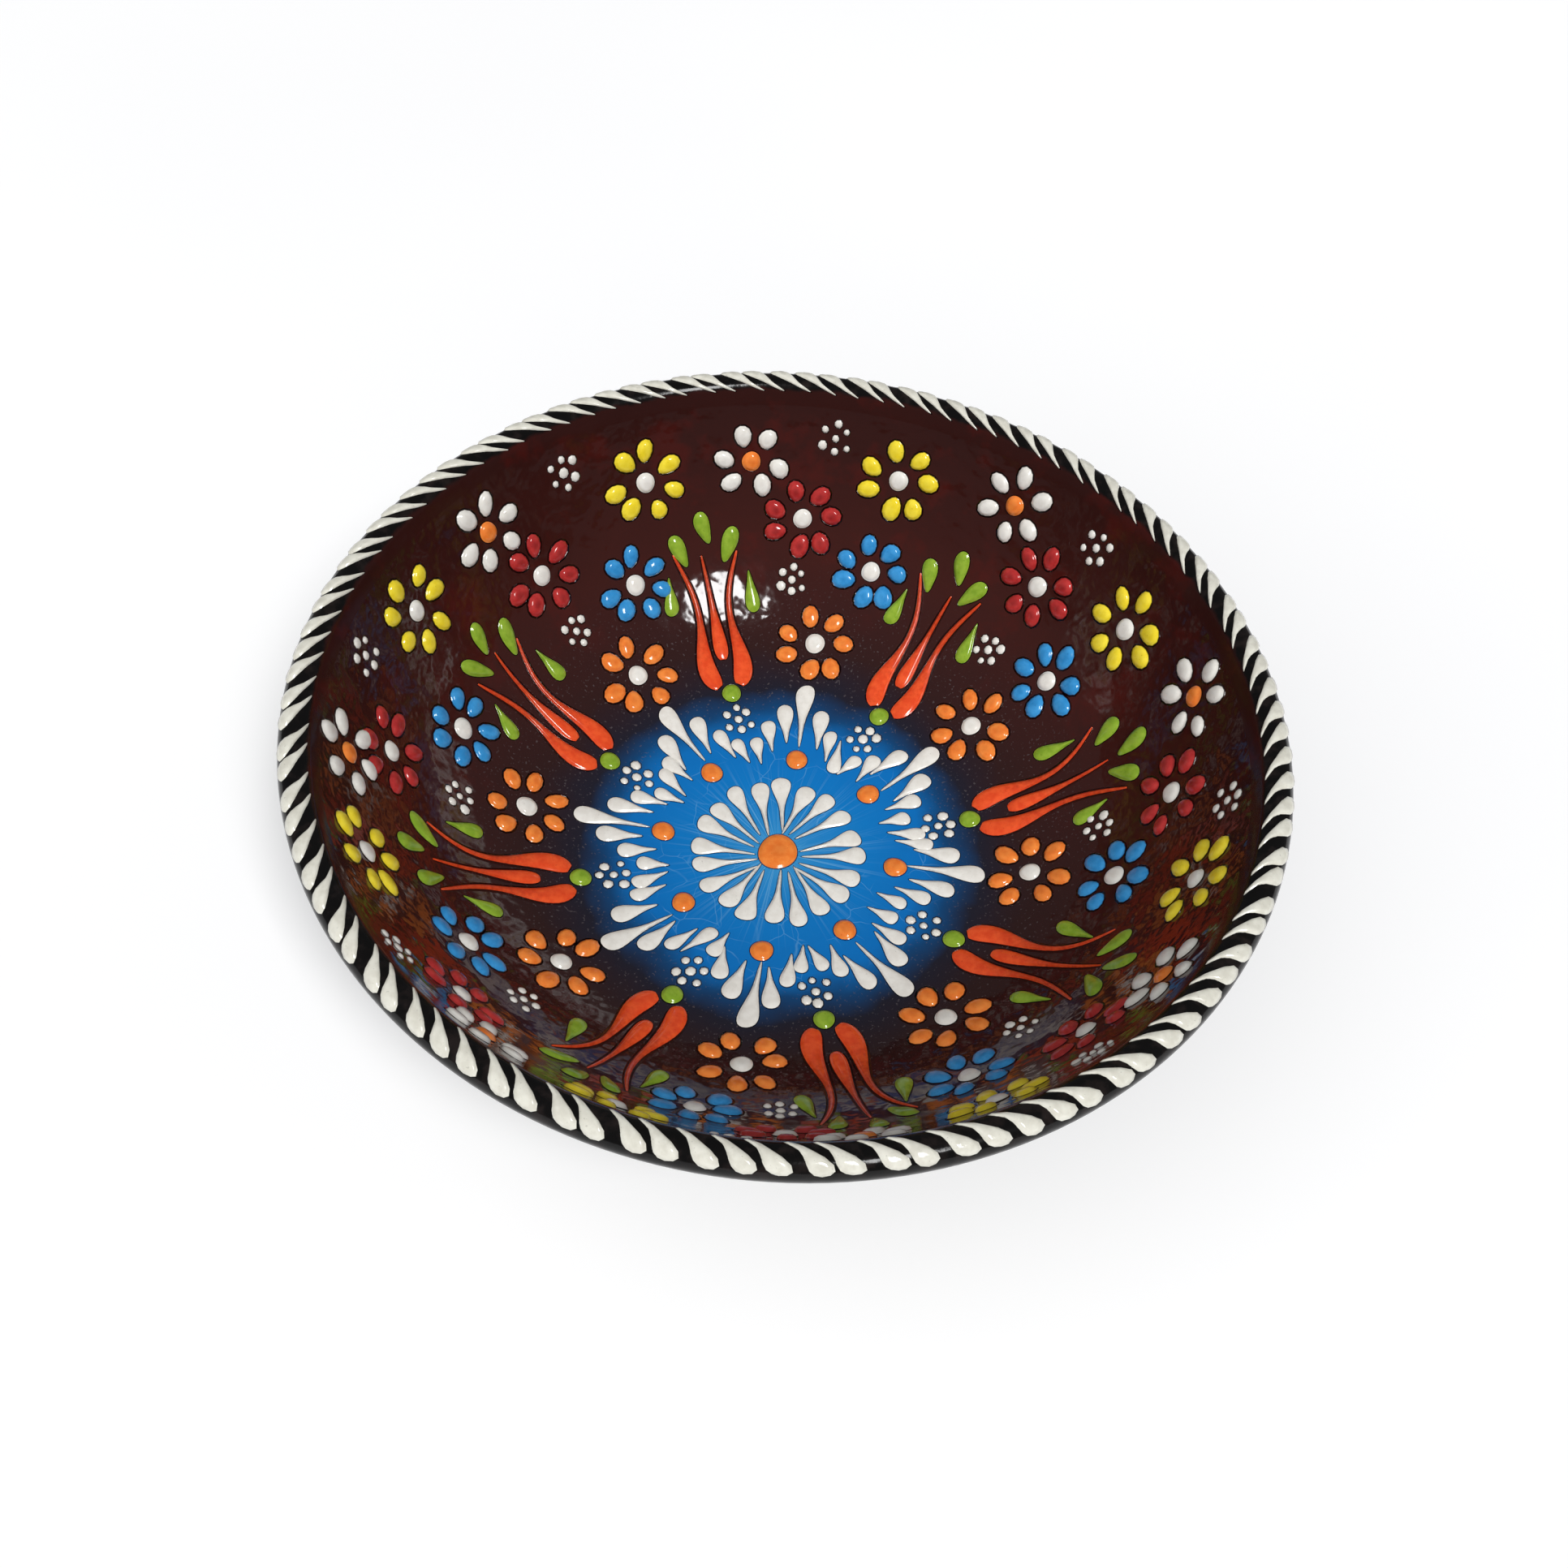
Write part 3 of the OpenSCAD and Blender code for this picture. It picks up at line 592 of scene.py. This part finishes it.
for name, node, taper in (("tulip_sides", "tulip_outer_petals", 3.4),
                          ("tulip_hearts", "tulip_inner_petals", 2.8)):
    bm = bmesh.new()
    for points in islands(node):
        up, off = up_wall(points)
        low, top = up.min(), up.max()
        middle, swing = azimuths(points)
        across = swing * np.interp(up, wall_s, wall_r)
        bow = np.polyfit((up - (low + top) / 2) / ((top - low) / 2), across, 4)
        slices = [abs(up - at) < slice_half for at in np.linspace(low, low + belly * (top - low), 9)]
        widest = max(np.ptp(across[cut]) for cut in slices if cut.any())
        trail_stroke(bm, on_wall((low + top) / 2, middle, pi), top - low, widest * stroke_w,
                     off.max() * settled, taper, stroke_tail, lambda v: np.polyval(bow, -v))
    dabs_done(bm, name, node, "scarlet_slip", scarlet)
dabs_on_wall("tulip_feet", "tulip_bases", "green_slip", green, lift=foot_lift)

# ---------------------------------------------------------------------------------------------
# Leaves. Short strokes of green slip, one pressed down at each side of a tulip and three in a
# crown over it, each with a round end and a point.
# ---------------------------------------------------------------------------------------------
dabs_on_wall("side_leaves", "tulip_side_leaves", "green_slip", green, taper=1.5, tail=0.24, wide=1.05)
dabs_on_wall("crown_leaves", "tulip_crown_leaves", "green_slip", green, taper=0.6, tail=0.62)

# ---------------------------------------------------------------------------------------------
# Flowers. Rings of oval dabs round a white or orange eye, in five colours up the wall: orange,
# blue, crimson, yellow and white. Each dab is one touch of the nozzle, so no two are quite alike.
# ---------------------------------------------------------------------------------------------
petal_taper, petal_vary, eye_vary = 0.12, 0.06, 0.05
blue = slip("blue_slip", srgb(46, 138, 202), srgb(64, 154, 216), srgb(12, 60, 112))
crimson = slip("crimson_slip", srgb(170, 42, 42), srgb(190, 56, 54), srgb(86, 14, 18), crown=0.4)
yellow = slip("yellow_slip", srgb(240, 214, 42), srgb(248, 226, 66), srgb(144, 114, 16))
for kind, petal, petal_slot, eye, eye_slot, apart in (
        ("orange", orange, "orange_slip", white, "white_slip", 1.0),
        ("blue", blue, "blue_slip", white, "white_slip", 0.94),
        ("red", crimson, "crimson_slip", white, "white_slip", 1.0),
        ("yellow", yellow, "yellow_slip", white, "white_slip", 1.03),
        ("white", white, "white_slip", orange, "orange_slip", 0.93)):
    eyes = np.array([lie_of(points)[:2] for points in islands(kind + "_flower_eyes")])
    dabs_on_wall(kind + "_petals", kind + "_flower_petals", petal_slot, petal, taper=petal_taper,
                 middles=eyes, apart=apart, vary=petal_vary, rounded=False)
    dabs_on_wall(kind + "_eyes", kind + "_flower_eyes", eye_slot, eye, vary=eye_vary)

# ---------------------------------------------------------------------------------------------
# Seed dots. Knots of tiny white dots, seven or so to a knot, that fill the gaps between the
# flowers. Each is the least drop that the nozzle lets go.
# ---------------------------------------------------------------------------------------------
knot_r, seed_vary = 0.0062, 0.2
for ring, apart, lift in (("inner", 0.97, -0.0003), ("middle", 0.88, 0.0003), ("upper", 1.0, 0.0)):
    seeds = np.array([lie_of(points)[:2] for points in islands(ring + "_seed_dots")])
    knots = []
    for s, azimuth in seeds:
        swing = np.angle(np.exp(1j * (seeds[:, 1] - azimuth)))
        near = np.hypot(swing * np.interp(s, wall_s, wall_r), seeds[:, 0] - s) < knot_r
        knots.append((seeds[near, 0].mean(), azimuth + swing[near].mean()))
    dabs_on_wall(ring + "_seeds", ring + "_seed_dots", "white_slip", white, sides=8,
                 middles=np.array(knots), apart=apart, lift=lift, vary=seed_vary, rounded=False)

# ---------------------------------------------------------------------------------------------
# Table and light. A white table, a soft lamp high on the near right that makes the bright patch
# on the far wall, and a broad soft light from the near left.
# ---------------------------------------------------------------------------------------------
table_half, table_glow = 3.0, 0.19
table_tones = srgb(236, 236, 237), srgb(240, 240, 240)
lamp_at, lamp_aim = Vector((2.312, -3.608, 6.059)), Vector((-0.016, 0.052, 0.023))
lamp_w, lamp_h, lamp_power = 1.38, 2.48, 336
sky_way, sky_power, sky_width = Vector((0.5, 0.65, -1)), 1.4, radians(80)
room_tint, room_light = (0.94, 0.97, 1.0, 1), 0.14

bm = bmesh.new()
bmesh.ops.create_grid(bm, x_segments=8, y_segments=8, size=table_half)
table = bpy.data.meshes.new("table_top")
bm.to_mesh(table)
bm.free()
table_top = bpy.data.objects.new("table_top", table)
scene.collection.objects.link(table_top)
table_white, bench, shader = finish("table_white")
table.materials.append(table_white)
tone = bench.blend(bench.spread(bench.noise(bench.where(), 3, 2), 0.3, 0.7), *table_tones)
bench.feed(shader, {"Base Color": tone, "Roughness": 0.9, "Specular IOR Level": 0.0})
ray = bench.add("LightPath").outputs
mirrored = bench.math("MAXIMUM", ray["Is Glossy Ray"], ray["Is Transmission Ray"])
seen = bench.math("MAXIMUM", ray["Is Camera Ray"], mirrored)
glow = bench.add("Emission", {"Color": (1, 1, 1, 1), "Strength": bench.times(seen, table_glow)}).outputs[0]
both = bench.add("AddShader", {0: shader.outputs[0], 1: glow}).outputs[0]
bench.feed(bench.tree.nodes["Material Output"], {"Surface": both})

near_light = bpy.data.lights.new("near_lamp", "AREA")
near_light.shape, near_light.size, near_light.size_y = "RECTANGLE", lamp_w, lamp_h
near_light.energy = lamp_power
near_lamp = bpy.data.objects.new("near_lamp", near_light)
near_lamp.location = lamp_at
near_lamp.rotation_euler = (lamp_aim - lamp_at).to_track_quat("-Z", "Y").to_euler()
scene.collection.objects.link(near_lamp)
sky = bpy.data.lights.new("soft_sky", "SUN")
sky.energy, sky.angle = sky_power, sky_width
soft_sky = bpy.data.objects.new("soft_sky", sky)
soft_sky.rotation_euler = sky_way.to_track_quat("-Z", "Y").to_euler()
soft_sky.visible_glossy = False
scene.collection.objects.link(soft_sky)
world = bpy.data.worlds.new("room")
scene.world = world
world.use_nodes = True
Bench(world.node_tree).feed(world.node_tree.nodes["Background"], {"Color": room_tint, "Strength": room_light})

camera = bpy.data.cameras.new("camera")
camera.lens, camera.sensor_width, camera.clip_start = 33.865, 36, 0.01
view = bpy.data.objects.new("camera", camera)
view.location = (-0.00392, -0.15116, 0.238)
view.rotation_euler = (radians(36.223), radians(-3.363), radians(3.125))
scene.collection.objects.link(view)
scene.camera = view
